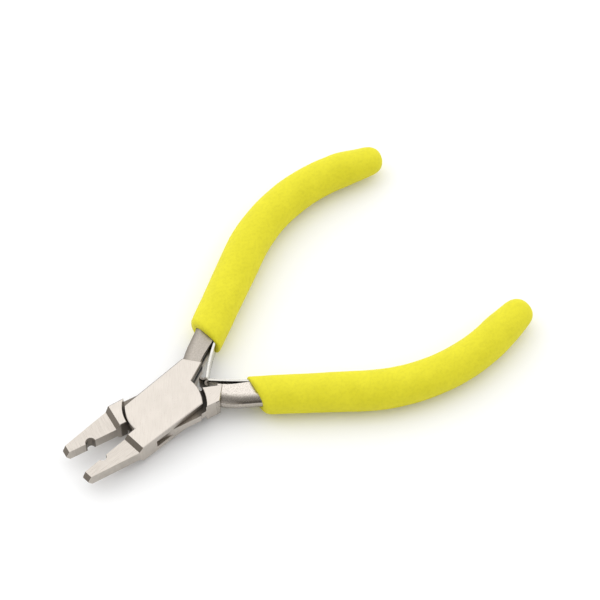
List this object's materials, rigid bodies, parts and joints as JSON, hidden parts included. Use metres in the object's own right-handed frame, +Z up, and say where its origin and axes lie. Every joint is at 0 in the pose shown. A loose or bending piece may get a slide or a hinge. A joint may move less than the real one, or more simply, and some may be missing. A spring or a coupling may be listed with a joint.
{
  "type": "crimping pliers",
  "caption": "Mini crimping pliers with a box joint, stepped tapered jaws with half-round notches near the tips, leaf springs and bowed handles in thick sleeves.",
  "frame": {"origin": "on the pivot's axis, at the lower ground face of the box joint", "axes": "+X runs from the pivot to the handles midway between them, +Y to the handle of the box half, +Z up along the pivot"},
  "size_m": [0.1295, 0.084, 0.0102],
  "materials": {
    "joint_steel": "satin, finely brushed",
    "spring_steel": "polished",
    "rivet_steel": "satin",
    "grip_yellow": "matte, slightly mottled"
  },
  "bodies": {
    "box_side": {"box_half": "joint_steel", "joint_rivet": "joint_steel", "box_leaf_spring": "spring_steel", "box_spring_rivet": "rivet_steel", "box_grip": "grip_yellow"},
    "tongue_side": {"tongue_half": "joint_steel", "tongue_leaf_spring": "spring_steel", "tongue_spring_rivet": "rivet_steel", "tongue_grip": "grip_yellow"}
  },
  "joints": [
    {"name": "jaw_pivot", "type": "hinge", "parent": "box_side", "child": "tongue_side", "pos_m": [0, 0, 0], "axis": [0, 0, 1], "range_deg": [-8, 15], "stiffness_Nm_per_rad": 1, "deforming": ["box_leaf_spring", "tongue_leaf_spring"]}
  ]
}
